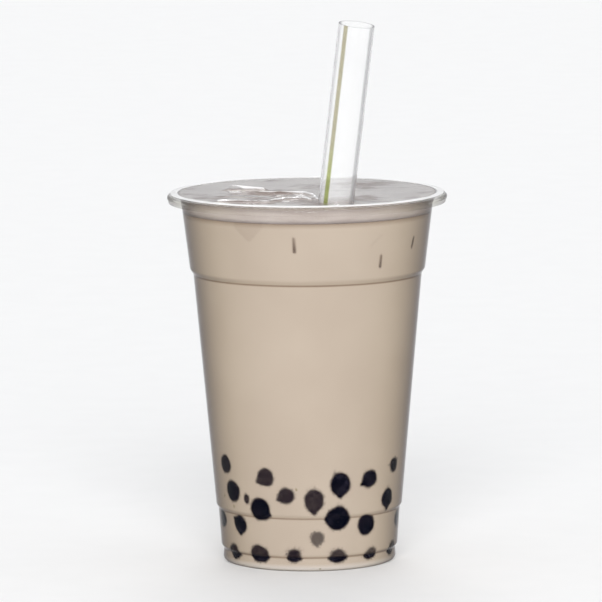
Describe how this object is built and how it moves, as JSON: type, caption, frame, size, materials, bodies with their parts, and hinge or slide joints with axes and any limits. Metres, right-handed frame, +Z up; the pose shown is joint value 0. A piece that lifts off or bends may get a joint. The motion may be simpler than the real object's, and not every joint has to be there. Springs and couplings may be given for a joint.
{
  "type": "bubble tea in a clear film-sealed cup with a wide straw",
  "caption": "Milk tea with dark tapioca pearls and a little ice in a clear, thin, tapering cup with stepped bands, sealed with clear film that a wide clear straw pierces.",
  "frame": {"origin": "centre of the circle that the cup stands on, on the table", "axes": "+Z up along the cup's axis; -Y is the front, the side that the straw stands at; +X is to the right seen from the front"},
  "size_m": [0.095, 0.095, 0.1866],
  "materials": {
    "cup_plastic": "clear, glossy, thin polypropylene, thermoformed",
    "milk_tea": "opaque milky tea, wet against the wall",
    "froth": "wet, fine-bubbled grey-beige froth",
    "film": "clear glossy sealing film, puckered round the straw",
    "straw_plastic": "clear glossy plastic with one thin olive-green stripe",
    "tapioca": "soft, wet, nearly black tapioca pearls",
    "ice": "melting ice, clouded by the tea round it"
  },
  "bodies": {
    "root": {"cup": "cup_plastic", "drink": "milk_tea", "froth": "froth", "film": "film", "straw": "straw_plastic"}
  },
  "joints": []
}
